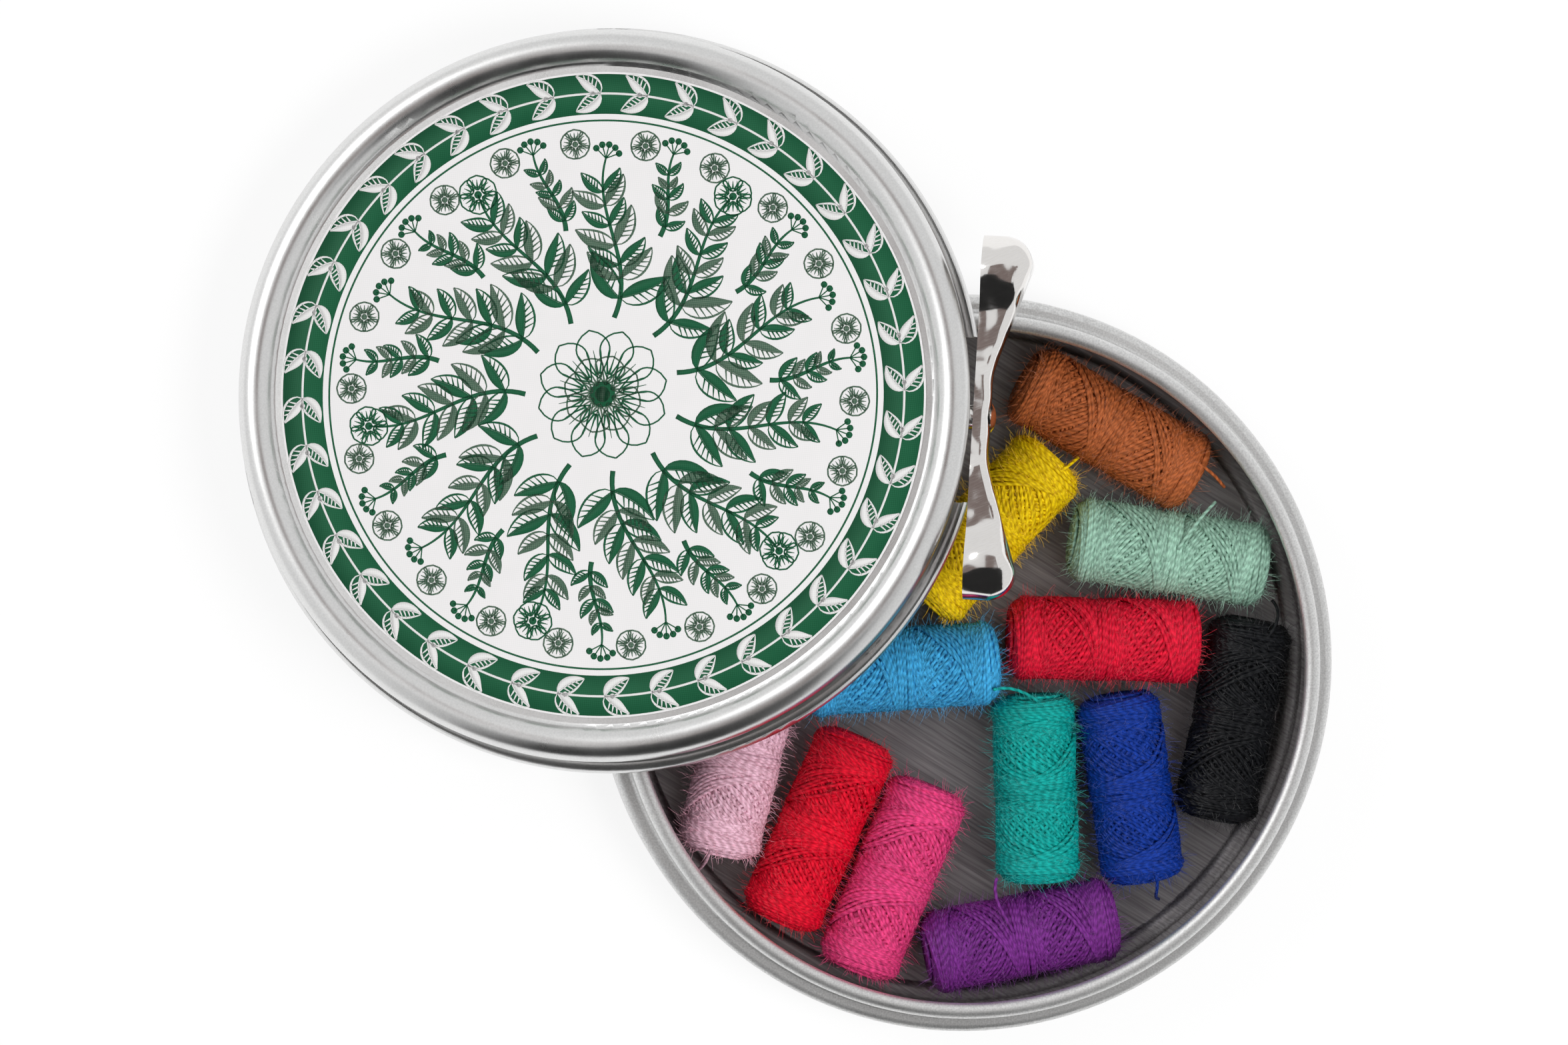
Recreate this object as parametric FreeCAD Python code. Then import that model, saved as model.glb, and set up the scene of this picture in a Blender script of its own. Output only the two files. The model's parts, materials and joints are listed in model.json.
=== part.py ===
import FreeCAD, Part
import math
import os

# Bobbin box: a round sheet metal tin with a slip-over lid, a twist key on the
# lid's skirt and coreless cocoons of sewing thread lying loose inside.
# Millimetres, +Z up, origin at the middle of the tin's flat underside.
# The lid is off and leans on the open tin, as the object is shown.

V = FreeCAD.Vector
UP = V(0, 0, 1)

# Sheet metal and fits
SHEET = 0.4
LID_FIT = 0.1
RUNNING_FIT = 0.05
END_PLAY = 0.1
SEAT_GAP = 0.3
TABLE_GAP = 0.1

# Tin base
BODY_RADIUS = 40.0
BODY_CORNER = 1.2
FLOOR_PANEL_RADIUS = 35.4
FLOOR_BEAD_WIDTH = 2.4
FLOOR_BEAD_HEIGHT = 0.7
SHOULDER_HEIGHT = 8.0
SHOULDER_ROUND = 0.8
SHOULDER_ROOT = 0.4
NECK_RADIUS = 38.2
RIM_HEIGHT = 12.0
LIP_ROLL = 0.85
LIP_TURN = 240.0

# Lid
PANEL_HEIGHT = 9.2
BEAD_HEIGHT = 1.2
BEAD_CREST = 1.9
BEAD_ROOT = 0.6
BEAD_OVERHANG = 0.6
BEAD_RETURN = 0.8
CURL_ROLL = 1.0
CURL_TURN = 235.0
LABEL_MARGIN = 0.65
LABEL_THICKNESS = 0.15

# Where the lid leans, and which way its key points
LID_X = -38.7
LID_Y = 28.9
KEY_BEARING = -3.5
LEAN_STEPS = 1800
LEAN_HALVINGS = 30

# Twist key and its rivet
KEY_SHEET = 0.45
KEY_LENGTH = 39.0
KEY_PIVOT_HEIGHT = 5.9
KEY_BAR_HEIGHT = 4.2
KEY_BAR_DEPTH = 1.8
KEY_BAR_STRAIGHT = 10.0
KEY_LOBE_RADIUS = 3.8
KEY_WAIST_ROUND = 5.0
KEY_WING_FLARE = 3.6
KEY_FLARE_ROUND = 6.0
KEY_TIP_ROUND = 3.2
KEY_TIP_SWEEP = 80.0
KEY_EDGE_ROUND = 0.9
KEY_WING_ROUND = 1.6
KEY_EDGE_MOST = 0.8
KEY_STATIONS = 14
KEY_STAND_OFF = 0.3
CURL_NOTCH_SIDE = 0.3
RIVET_RADIUS = 1.0
RIVET_HEAD_RADIUS = 1.6
RIVET_HEAD_HEIGHT = 0.5
RIVET_TAIL_RADIUS = 1.5
RIVET_TAIL_HEIGHT = 0.4
SPACER_RADIUS = 1.35

# Thread cocoons
COCOON_DIAMETER = 9.0
COCOON_END_ROUND = 2.2
COCOON_END_WRAP = 50.0
THREAD_DIAMETER = 0.45
THREAD_GAP = 0.43
THREAD_LAY = 0.05
TURNS_MOST = 24
GAP_SAMPLES = 24

# Colour, distance right and up from the tin's axis, bearing, length
COCOONS = [
    ("brown", 15.8, 25.5, -29.5, 22.2),
    ("sage", 22.3, 12.0, -8.5, 21.8),
    ("yellow", 2.6, 14.7, 47.5, 21.4),
    ("crimson", 15.2, 2.5, -1.5, 21.0),
    ("black", 29.5, -6.3, 79.0, 22.4),
    ("sky_blue", -6.9, -0.6, 4.0, 21.4),
    ("teal", 7.8, -13.7, -88.0, 20.6),
    ("royal_blue", 18.2, -13.7, -81.0, 20.8),
    ("light_pink", -24.5, -10.3, 76.5, 21.4),
    ("scarlet", -15.9, -18.0, 66.0, 22.2),
    ("magenta", -7.8, -23.4, 67.5, 22.0),
    ("purple", 6.2, -29.8, 11.0, 21.4),
    ("olive", -12.5, 25.9, 22.0, 21.6),
    ("ivory", -19.5, 9.5, 8.0, 21.6),
]


def polar(radius, degrees):
    angle = math.radians(degrees)
    return radius * math.cos(angle), radius * math.sin(angle)


def sheet_side(start, moves, shift):
    """Edges of one side of a bent sheet, in the XZ plane, shifted to the left of its path."""
    heading = 0.0
    left = polar(shift, heading + 90)
    x = start[0] + left[0]
    z = start[1] + left[1]
    edges = []
    for length, radius, bend in moves:
        here = V(x, 0, z)
        if bend == 0:
            step = polar(length, heading)
            x += step[0]
            z += step[1]
            edges.append(Part.LineSegment(here, V(x, 0, z)).toShape())
            continue
        side = 90 if bend > 0 else -90
        reach = radius - shift if bend > 0 else radius + shift
        out = polar(reach, heading + side)
        middle = polar(reach, heading - side + bend / 2)
        end = polar(reach, heading - side + bend)
        centre_x = x + out[0]
        centre_z = z + out[1]
        x = centre_x + end[0]
        z = centre_z + end[1]
        halfway = V(centre_x + middle[0], 0, centre_z + middle[1])
        edges.append(Part.Arc(here, halfway, V(x, 0, z)).toShape())
        heading += bend
    return edges


def run(length):
    return length, 0, 0


def turn(radius, degrees):
    return 0, radius, degrees


def spun_sheet(start, moves, shift):
    """A bent sheet profile that starts on the axis, spun round Z."""
    face_side = sheet_side(start, moves, 0)
    back_side = sheet_side(start, moves, shift)
    first = Part.LineSegment(back_side[0].Vertexes[0].Point, face_side[0].Vertexes[0].Point)
    last = Part.LineSegment(face_side[-1].Vertexes[-1].Point, back_side[-1].Vertexes[-1].Point)
    outline = Part.__sortEdges__(face_side + back_side + [first.toShape(), last.toShape()])
    section = Part.Face(Part.Wire(outline))
    return section.revolve(V(0, 0, 0), UP, 360)


def base_shell():
    """Drawn tin: flat floor with a ring bead, wall, shoulder, neck and rolled-in lip."""
    bead_angle = 2 * math.degrees(math.atan(2 * FLOOR_BEAD_HEIGHT / FLOOR_BEAD_WIDTH))
    bead_round = FLOOR_BEAD_WIDTH / (4 * math.sin(math.radians(bead_angle)))
    foot = BODY_RADIUS - BODY_CORNER - FLOOR_PANEL_RADIUS - FLOOR_BEAD_WIDTH
    wall = SHOULDER_HEIGHT - BODY_CORNER - SHOULDER_ROUND
    ledge = BODY_RADIUS - SHOULDER_ROUND - SHOULDER_ROOT - NECK_RADIUS
    neck = RIM_HEIGHT - LIP_ROLL - SHOULDER_HEIGHT - SHOULDER_ROOT
    moves = [
        run(FLOOR_PANEL_RADIUS),
        turn(bead_round, bead_angle),
        turn(bead_round, -2 * bead_angle),
        turn(bead_round, bead_angle),
        run(foot),
        turn(BODY_CORNER, 90),
        run(wall),
        turn(SHOULDER_ROUND, 90),
        run(ledge),
        turn(SHOULDER_ROOT, -90),
        run(neck),
        turn(LIP_ROLL, LIP_TURN),
    ]
    return spun_sheet((0, 0), moves, SHEET)


# Radii and heights that the lid, its label and its key share
SKIRT_INSIDE = NECK_RADIUS + LID_FIT
SKIRT_OUTSIDE = SKIRT_INSIDE + SHEET
CURL_CENTRE = SKIRT_INSIDE + CURL_ROLL
CURL_OUTSIDE = CURL_CENTRE + CURL_ROLL
KEY_BACK = SKIRT_OUTSIDE + BEAD_OVERHANG + KEY_STAND_OFF
KEY_FRONT = KEY_BACK + KEY_BAR_DEPTH


def bead_rise():
    return math.degrees(math.acos(1 - BEAD_HEIGHT / (BEAD_ROOT + BEAD_CREST)))


def panel_radius():
    """Radius of the lid's flat panel, up to the foot of its bead."""
    slope = (BEAD_ROOT + BEAD_CREST) * math.sin(math.radians(bead_rise()))
    return SKIRT_OUTSIDE + BEAD_OVERHANG - BEAD_CREST - slope


def lid_profile():
    rise = bead_rise()
    tuck = math.degrees(math.acos(1 - BEAD_OVERHANG / (BEAD_CREST + BEAD_RETURN)))
    drop = (BEAD_CREST + BEAD_RETURN) * math.sin(math.radians(tuck))
    skirt = PANEL_HEIGHT + BEAD_HEIGHT - BEAD_CREST - drop - CURL_ROLL
    return [
        run(panel_radius()),
        turn(BEAD_ROOT, rise),
        turn(BEAD_CREST, -rise - 90 - tuck),
        turn(BEAD_RETURN, tuck),
        run(skirt),
        turn(CURL_ROLL - SHEET, CURL_TURN),
    ]


def lid_shell():
    """Pressed lid: recessed panel, stacking bead, skirt and outward curl, cut away under the key."""
    shell = spun_sheet((0, PANEL_HEIGHT), lid_profile(), -SHEET)
    reach = CURL_OUTSIDE + CURL_ROLL
    near = KEY_BACK - CURL_NOTCH_SIDE
    half = math.sqrt(CURL_OUTSIDE ** 2 - near ** 2)
    top = 2 * CURL_ROLL + SHEET
    block = Part.makeBox(reach, 2 * half, top + SHEET, V(0, -half, -SHEET))
    skirt_core = Part.makeCylinder(SKIRT_OUTSIDE, top + SHEET, V(0, 0, -SHEET))
    hole = Part.makeCylinder(RIVET_RADIUS, reach, V(0, 0, KEY_PIVOT_HEIGHT), V(1, 0, 0))
    return shell.cut(block.cut(skirt_core)).cut(hole)


def lid_label():
    """Round paper label on the lid's recessed panel."""
    return Part.makeCylinder(panel_radius() - LABEL_MARGIN, LABEL_THICKNESS, V(0, 0, PANEL_HEIGHT))


def key_half_height(y, inset):
    """Half the key's height at a distance from its middle: a bar that swells into a round lobe."""
    bar = KEY_BAR_HEIGHT / 2 - inset
    lobe = KEY_LOBE_RADIUS - inset
    waist = KEY_WAIST_ROUND + inset
    lobe_y = KEY_LENGTH / 2 - KEY_LOBE_RADIUS * math.sin(math.radians(KEY_TIP_SWEEP))
    across = math.sqrt((lobe + waist) ** 2 - (bar + waist) ** 2)
    waist_y = lobe_y - across
    meet_y = lobe_y - across * lobe / (lobe + waist)
    if y < waist_y:
        return bar
    if y < meet_y:
        return bar + waist - math.sqrt(waist ** 2 - (y - waist_y) ** 2)
    return math.sqrt(lobe ** 2 - (y - lobe_y) ** 2)


def key_reach(y, inset):
    """How far out the key's front lies: a bar, then a wing that flares and rounds off at its tip."""
    bar = KEY_FRONT - inset
    tip_round = KEY_TIP_ROUND - inset
    tip_x = KEY_FRONT + KEY_WING_FLARE - KEY_TIP_ROUND
    tip_y = KEY_LENGTH / 2 - KEY_TIP_ROUND * math.sin(math.radians(KEY_TIP_SWEEP))
    if y > tip_y:
        return tip_x + math.sqrt(tip_round ** 2 - (y - tip_y) ** 2)
    corner = KEY_BAR_STRAIGHT / 2
    bend = math.atan2(tip_x + tip_round - bar, tip_y - corner)
    setback = KEY_FLARE_ROUND * math.tan(bend / 2)
    past = y - corner + setback
    if past < 0:
        return bar
    if past < KEY_FLARE_ROUND * math.sin(bend):
        return bar + KEY_FLARE_ROUND - math.sqrt(KEY_FLARE_ROUND ** 2 - past ** 2)
    return bar + (y - corner) * math.tan(bend)


def key_edge(y):
    """Rounding of the key's front edges, which grows from the bar to the wings."""
    tall = key_half_height(y, 0)
    bar = KEY_BAR_HEIGHT / 2
    share = max(0, tall - bar) / (KEY_LOBE_RADIUS - bar)
    edge = KEY_EDGE_ROUND + share * (KEY_WING_ROUND - KEY_EDGE_ROUND)
    return edge


def key_section(y, inset, back):
    """The key cut across at one place: square at its open back, rounded at its front."""
    tall = key_half_height(abs(y), inset)
    front = key_reach(abs(y), inset)
    edge = min(key_edge(abs(y)) - inset, KEY_EDGE_MOST * tall)
    corner = edge * math.sqrt(0.5)
    turn_x = front - edge
    turn_z = tall - edge
    outline = [
        Part.LineSegment(V(back, y, tall), V(turn_x, y, tall)),
        Part.Arc(V(turn_x, y, tall), V(turn_x + corner, y, turn_z + corner), V(front, y, turn_z)),
        Part.LineSegment(V(front, y, turn_z), V(front, y, -turn_z)),
        Part.Arc(V(front, y, -turn_z), V(turn_x + corner, y, -turn_z - corner), V(turn_x, y, -tall)),
        Part.LineSegment(V(turn_x, y, -tall), V(back, y, -tall)),
        Part.LineSegment(V(back, y, -tall), V(back, y, tall)),
    ]
    return Part.Wire([line.toShape() for line in outline])


def key_block(inset, back):
    """The key's outside, or the hollow a sheet's thickness inside it, lofted from tip to tip."""
    end = KEY_LENGTH / 2 - inset
    sections = []
    for station in range(-KEY_STATIONS, KEY_STATIONS + 1):
        y = end * math.sin(math.pi / 2 * station / KEY_STATIONS)
        sections.append(key_section(y, inset, back))
    return Part.makeLoft(sections, True)


def opening_key():
    """Sheet metal pan, open towards the lid, with a rivet hole in its bar."""
    body = key_block(0, KEY_BACK).cut(key_block(KEY_SHEET, KEY_BACK - KEY_SHEET))
    hole = Part.makeCylinder(RIVET_RADIUS + RUNNING_FIT, 2 * KEY_FRONT, V(0, 0, 0), V(1, 0, 0))
    body = body.cut(hole)
    body.translate(V(0, 0, KEY_PIVOT_HEIGHT))
    return body


def key_rivet():
    """Rivet through the lid's skirt: flat tail inside, shank, domed head outside the key."""
    tail_out = math.sqrt(SKIRT_INSIDE ** 2 - RIVET_TAIL_RADIUS ** 2)
    tail_in = tail_out - RIVET_TAIL_HEIGHT
    head_in = KEY_FRONT + END_PLAY
    head_out = head_in + RIVET_HEAD_HEIGHT
    dome = (RIVET_HEAD_RADIUS ** 2 + RIVET_HEAD_HEIGHT ** 2) / (2 * RIVET_HEAD_HEIGHT)
    halfway = polar(dome, math.degrees(math.asin(RIVET_HEAD_RADIUS / dome)) / 2)
    section = [
        V(tail_in, 0, 0),
        V(tail_in, 0, RIVET_TAIL_RADIUS),
        V(tail_out, 0, RIVET_TAIL_RADIUS),
        V(tail_out, 0, RIVET_RADIUS),
        V(head_in, 0, RIVET_RADIUS),
        V(head_in, 0, RIVET_HEAD_RADIUS),
    ]
    crown = Part.Arc(section[-1], V(head_out - dome + halfway[0], 0, halfway[1]), V(head_out, 0, 0))
    edges = [Part.LineSegment(a, b).toShape() for a, b in zip(section, section[1:])]
    edges.append(crown.toShape())
    edges.append(Part.LineSegment(V(head_out, 0, 0), section[0]).toShape())
    rivet = Part.Face(Part.Wire(edges)).revolve(V(0, 0, 0), V(1, 0, 0), 360)
    rivet.translate(V(0, 0, KEY_PIVOT_HEIGHT))
    return rivet


def key_spacer(shell):
    """Bush on the rivet that holds the key's bar off the skirt, shaped to the skirt at its foot."""
    foot = V(math.sqrt(SKIRT_OUTSIDE ** 2 - SPACER_RADIUS ** 2), 0, KEY_PIVOT_HEIGHT)
    length = KEY_FRONT - KEY_SHEET - END_PLAY - foot.x
    bush = Part.makeCylinder(SPACER_RADIUS, length, foot, V(1, 0, 0))
    bore = Part.makeCylinder(RIVET_RADIUS, length, foot, V(1, 0, 0))
    return bush.cut(bore).cut(shell)


def lean_gap(tilt):
    """Least gap between the leaning lid's curl and the base's rolled lip at this tilt."""
    lift = CURL_CENTRE * math.sin(tilt) + CURL_ROLL + TABLE_GAP
    reach = math.hypot(LID_X, LID_Y)
    lip_centre = NECK_RADIUS - LIP_ROLL
    lip_height = RIM_HEIGHT - LIP_ROLL
    nearest = reach
    for step in range(LEAN_STEPS):
        angle = math.pi * step / LEAN_STEPS
        along = CURL_CENTRE * math.cos(angle)
        x = along * math.cos(tilt) - reach
        y = CURL_CENTRE * math.sin(angle)
        z = lift + along * math.sin(tilt)
        nearest = min(nearest, math.hypot(math.hypot(x, y) - lip_centre, z - lip_height))
    return nearest - CURL_ROLL - LIP_ROLL


def lean_tilt():
    """Tilt, in degrees, at which the lid just rests on the rim with its far edge on the table."""
    low = math.atan2(RIM_HEIGHT, 2 * BODY_RADIUS)
    high = math.atan2(2 * RIM_HEIGHT, 2 * BODY_RADIUS)
    for _ in range(LEAN_HALVINGS):
        middle = (low + high) / 2
        if lean_gap(middle) < SEAT_GAP:
            low = middle
        else:
            high = middle
    return math.degrees(high)


def lid_placement():
    """Turns the key to its bearing, then leans the lid from the table onto the rim."""
    tilt = lean_tilt()
    towards_base = math.degrees(math.atan2(-LID_Y, -LID_X))
    slope = math.radians(tilt)
    across = FreeCAD.Rotation(UP, towards_base + 90).multVec(V(1, 0, 0))
    lean = FreeCAD.Rotation(across, -tilt)
    bearing = FreeCAD.Rotation(UP, KEY_BEARING)
    curl_height = CURL_CENTRE * math.sin(slope) + CURL_ROLL + TABLE_GAP
    curl_middle = V(LID_X, LID_Y, curl_height)
    origin = curl_middle - lean.multVec(V(0, 0, CURL_ROLL))
    print("lid tilt", round(tilt, 3), "origin", [round(value, 3) for value in origin])
    return FreeCAD.Placement(origin, lean.multiply(bearing))


def cocoon_core(length):
    """Plain inner layers of a cocoon: a barrel along X with rounded ends."""
    radius = COCOON_DIAMETER / 2 - THREAD_DIAMETER - THREAD_LAY
    core = Part.makeCylinder(radius, length, V(-length / 2, 0, 0), V(1, 0, 0))
    rims = [edge for edge in core.Edges if edge.Closed]
    return core.makeFillet(COCOON_END_ROUND, rims)


def wrap_profile(length, travel):
    """Place and slope of the thread's centre line, travel along the barrel from its middle."""
    lift = THREAD_LAY + THREAD_DIAMETER / 2
    straight = length / 2 - COCOON_END_ROUND
    radius = COCOON_DIAMETER / 2 - THREAD_DIAMETER / 2
    bend = COCOON_END_ROUND + lift
    side = -1 if travel < 0 else 1
    over = abs(travel) - straight
    if over <= 0:
        return travel, radius, 1.0, 0.0
    angle = over / bend
    along = side * (straight + bend * math.sin(angle))
    return along, radius - bend * (1 - math.cos(angle)), math.cos(angle), -side * math.sin(angle)


def wrap_point(length, travel, per_radian, angle):
    """Point and direction of the thread at this turning angle about the barrel's axis."""
    along, radius, along_slope, radius_slope = wrap_profile(length, travel)
    c = math.cos(angle)
    s = math.sin(angle)
    point = V(along, radius * c, radius * s)
    grow = radius_slope * per_radian
    direction = V(along_slope * per_radian, grow * c - radius * s, grow * s + radius * c)
    return point, direction.normalize()


def tangent_arc(start, direction, end):
    """The arc that leaves start in the given direction and ends at end."""
    chord = end - start
    half = chord.Length / 2
    line = chord * (1 / chord.Length)
    lean = direction - line * direction.dot(line)
    swing = math.atan2(lean.Length, direction.dot(line))
    middle = (start + end) * 0.5 + lean.normalize() * (half * math.tan(swing / 2))
    return Part.Arc(start, middle, end)


def biarc(start, leaving, end, arriving):
    """Two tangent arcs from one point and direction to the next."""
    chord = end - start
    both = leaving + arriving
    spread = 2 * (1 - leaving.dot(arriving))
    pull = chord.dot(both)
    reach = (math.sqrt(pull * pull + spread * chord.dot(chord)) - pull) / spread
    joint = (start + end + (leaving - arriving) * reach) * 0.5
    first = tangent_arc(start, leaving, joint)
    second = tangent_arc(end, arriving * -1, joint)
    return [first, second]


def least_gap(points, per_turn):
    """Least clear gap of the thread to its own other turns, on points along it."""
    nearest = COCOON_DIAMETER
    skip = per_turn // 2
    window = 2 * per_turn
    for index, point in enumerate(points):
        for other in points[index + skip:index + window]:
            nearest = min(nearest, point.distanceToPoint(other))
    return nearest - THREAD_DIAMETER


def cocoon_winding(name, length):
    """Outer layer of thread, one unbroken tube wound along the barrel and over its shoulders."""
    bend = COCOON_END_ROUND + THREAD_LAY + THREAD_DIAMETER / 2
    reach = length / 2 - COCOON_END_ROUND + bend * math.radians(COCOON_END_WRAP)
    turns = min(TURNS_MOST, int(2 * reach / (THREAD_DIAMETER + THREAD_GAP)))
    per_radian = reach / (math.pi * turns)
    halves = []
    for index in range(2 * turns + 1):
        angle = math.pi * index
        halves.append(wrap_point(length, angle * per_radian - reach, per_radian, angle))
    arcs = []
    for (start, leaving), (end, arriving) in zip(halves, halves[1:]):
        arcs += biarc(start, leaving, end, arriving)
    first, first_way = halves[0]
    last, last_way = halves[-1]
    lead_in = Part.LineSegment(first - first_way * THREAD_DIAMETER, first)
    lead_out = Part.LineSegment(last, last + last_way * THREAD_DIAMETER)
    edges = [lead_in.toShape()] + [arc.toShape() for arc in arcs] + [lead_out.toShape()]
    path = Part.Wire(Part.__sortEdges__(edges))
    ring = Part.Circle(lead_in.StartPoint, first_way, THREAD_DIAMETER / 2).toShape()
    tube = path.makePipeShell([Part.Wire(ring)], True, False)
    samples = path.discretize(turns * GAP_SAMPLES)
    print(name, "turns", turns, "least gap", round(least_gap(samples, GAP_SAMPLES), 3))
    return tube


def cocoon(name, x, y, bearing, length):
    """Core and outer winding of one cocoon, lying on the floor of the tin."""
    both = Part.makeCompound([cocoon_core(length), cocoon_winding(name, length)])
    height = SHEET + SEAT_GAP + COCOON_DIAMETER / 2
    both.Placement = FreeCAD.Placement(V(x, y, height), FreeCAD.Rotation(UP, bearing))
    return both


def main():
    os.makedirs("parts", exist_ok=True)
    nodes = {"base_shell": base_shell()}
    lean = lid_placement()
    shell = lid_shell()
    on_lid = {
        "lid_shell": shell,
        "lid_label": lid_label(),
        "opening_key": opening_key(),
        "key_rivet": key_rivet(),
        "key_spacer": key_spacer(shell.copy()),
    }
    for node, shape in on_lid.items():
        shape.Placement = lean.multiply(shape.Placement)
        nodes[node] = shape
    for name, x, y, bearing, length in COCOONS:
        nodes["bobbin_" + name] = cocoon(name, x, y, bearing, length)
    for node, shape in nodes.items():
        if not shape.isValid():
            print("not valid:", node)
        shape.exportStep("parts/" + node + ".step")


main()
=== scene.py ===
"""Looks of a round tin of thread bobbins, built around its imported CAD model.

The tin, lid, label and key keep their CAD shapes and get procedural finishes. Each bobbin's CAD
solid is replaced by a cocoon of cross-wound thread, and the label carries a printed plant wreath.
"""

import json
import math
import random

import bpy
import numpy as np
from mathutils import Matrix, Vector

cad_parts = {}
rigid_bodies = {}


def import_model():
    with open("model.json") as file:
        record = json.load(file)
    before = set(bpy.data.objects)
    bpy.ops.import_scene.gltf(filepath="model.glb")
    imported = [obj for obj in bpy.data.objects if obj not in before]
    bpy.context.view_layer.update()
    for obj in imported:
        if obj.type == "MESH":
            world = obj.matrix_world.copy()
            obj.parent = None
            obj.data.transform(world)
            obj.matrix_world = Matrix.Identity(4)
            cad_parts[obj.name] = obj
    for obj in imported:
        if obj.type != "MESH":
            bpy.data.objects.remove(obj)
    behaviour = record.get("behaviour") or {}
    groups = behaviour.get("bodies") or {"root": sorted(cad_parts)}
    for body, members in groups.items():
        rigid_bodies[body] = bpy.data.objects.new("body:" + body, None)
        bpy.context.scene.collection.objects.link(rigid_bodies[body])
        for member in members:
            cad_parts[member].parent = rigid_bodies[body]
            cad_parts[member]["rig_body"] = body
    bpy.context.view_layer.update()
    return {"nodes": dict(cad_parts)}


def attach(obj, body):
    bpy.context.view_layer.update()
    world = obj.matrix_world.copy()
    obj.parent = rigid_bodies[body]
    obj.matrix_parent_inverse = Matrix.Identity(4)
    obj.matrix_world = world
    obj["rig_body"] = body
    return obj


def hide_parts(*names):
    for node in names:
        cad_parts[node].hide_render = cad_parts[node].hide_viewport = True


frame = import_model()

MM = 0.001
TAU = 2 * math.pi

# Camera: almost straight down, leaning a little towards the lid
IMAGE_WIDTH_PX = 2352
MM_PER_PX = 0.0721
SENSOR_WIDTH_MM = 36
CAMERA_DISTANCE_MM = 900
CAMERA_TILT = math.radians(5.35)
CAMERA_TILT_FROM = Vector((0.808, -0.589)).normalized()
CAMERA_TARGET = Vector((-19.858, 15.551, 8.0)) * MM

# Light from the white room: on surfaces, and as metal mirrors it
SKY_LEVEL = 0.55
SKY_IN_METAL = 0.78
FLOOR_REACH = 3.0
FLOOR_DROP = 0.02 * MM
FLOOR_GLOW = 0.85

# Lamps: place and size in metres, power, and whether metal mirrors the lamp
LAMP_SIZE = 0.5
LAMPS = {
    "lamp_east": ((0.50, -0.15, 0.95), 7.0, False),
    "lamp_west": ((-0.75, 0.45, 0.80), 3.0, True),
}

# Dark cards that the metal mirrors: middle, half width and half height in metres, and colour
CARDS = {
    "card_above": ((-0.08, 0.0, 0.95), (0.17, 0, 0), (0, 0.42, 0), (0.20, 0.16, 0.15, 1)),
    "card_south": ((-0.05, -0.42, 0.50), (0.36, 0, 0), (0, 0.17, 0.44), (0.02, 0.02, 0.02, 1)),
}

# Metal: pairs of linear colours that the grain goes between
SATIN = (0.62, 0.62, 0.615, 1), (0.92, 0.92, 0.915, 1)
# The floor pair is darker than the aluminium above: brushed streaks, with painted shade for the
# tin's floor under the bobbins and lid
BRUSHED_AND_SHADED = (0.27, 0.255, 0.26, 1), (0.52, 0.50, 0.505, 1)
NICKEL = (0.80, 0.775, 0.75, 1), (0.90, 0.885, 0.87, 1)
BASE_ROUGHNESS = 0.52
BASE_SANDY = 0.7
LID_ROUGHNESS = 0.30
LID_SANDY = 0.3
ROUGHNESS_SPREAD = 0.04
SAND_CELL = 0.2 * MM
SAND_RELIEF = 0.012 * MM
TIN_FLOOR_TOP = 1.3 * MM
BRUSH_ANGLE = math.radians(-32)
BRUSH_STRETCH = 40
DENT_CELL = 4.8 * MM
DENT_DEPTH = 1.3 * MM
NOISE_RANGE = (0.3, 0.7)

# Thread, in millimetres
STRAND_RADIUS = 0.21
STRAND_SIDES = 6
STRAND_STEP = 0.85
TWIST_LENGTH = 0.95
TRAVERSES = 76
STEEP_LAY = math.radians(38)
SHALLOW_LAY = math.radians(7)
LAY_DEPTH = 0.42
END_ROUND = 2.0
END_FACE_HOLE = 0.9
WAIST_DEPTH = 0.12
WAIST_WIDTH = 1.6
BAND_TURNS = 5
END_BAND_TURNS = 3
END_BAND_PLACE = 0.4
BAND_PITCH = 0.36
TRAVERSE_END = 0.75
START_JITTER = 0.07
WOBBLE = 0.05
CORE_SIDES = 32
CORE_STATIONS = 60
HAIRS = 1000
HAIR_RADIUS = 0.02
HAIR_LENGTHS = (0.35, 1.4)
HAIRS_ABOVE = -0.3
HAIR_ROOT = 0.12
HAIR_POINTS = 4
SWELL = 0.14

# Dyes, as linear colours: the threads' own colours, written brighter as painted light that makes up
# for the shade inside the tin
DYES = {
    "brown": (0.450, 0.120, 0.035),
    "sage": (0.340, 0.570, 0.445),
    "yellow": (1.000, 0.600, 0.002),
    "crimson": (0.780, 0.008, 0.040),
    "black": (0.005, 0.0055, 0.007),
    "sky_blue": (0.058, 0.430, 0.790),
    "teal": (0.003, 0.400, 0.360),
    "royal_blue": (0.004, 0.038, 0.310),
    "light_pink": (1.000, 0.530, 0.650),
    "scarlet": (0.780, 0.003, 0.026),
    "magenta": (0.800, 0.055, 0.220),
    "purple": (0.190, 0.026, 0.250),
    "olive": (0.200, 0.200, 0.035),
    "ivory": (0.780, 0.680, 0.480),
}

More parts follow.
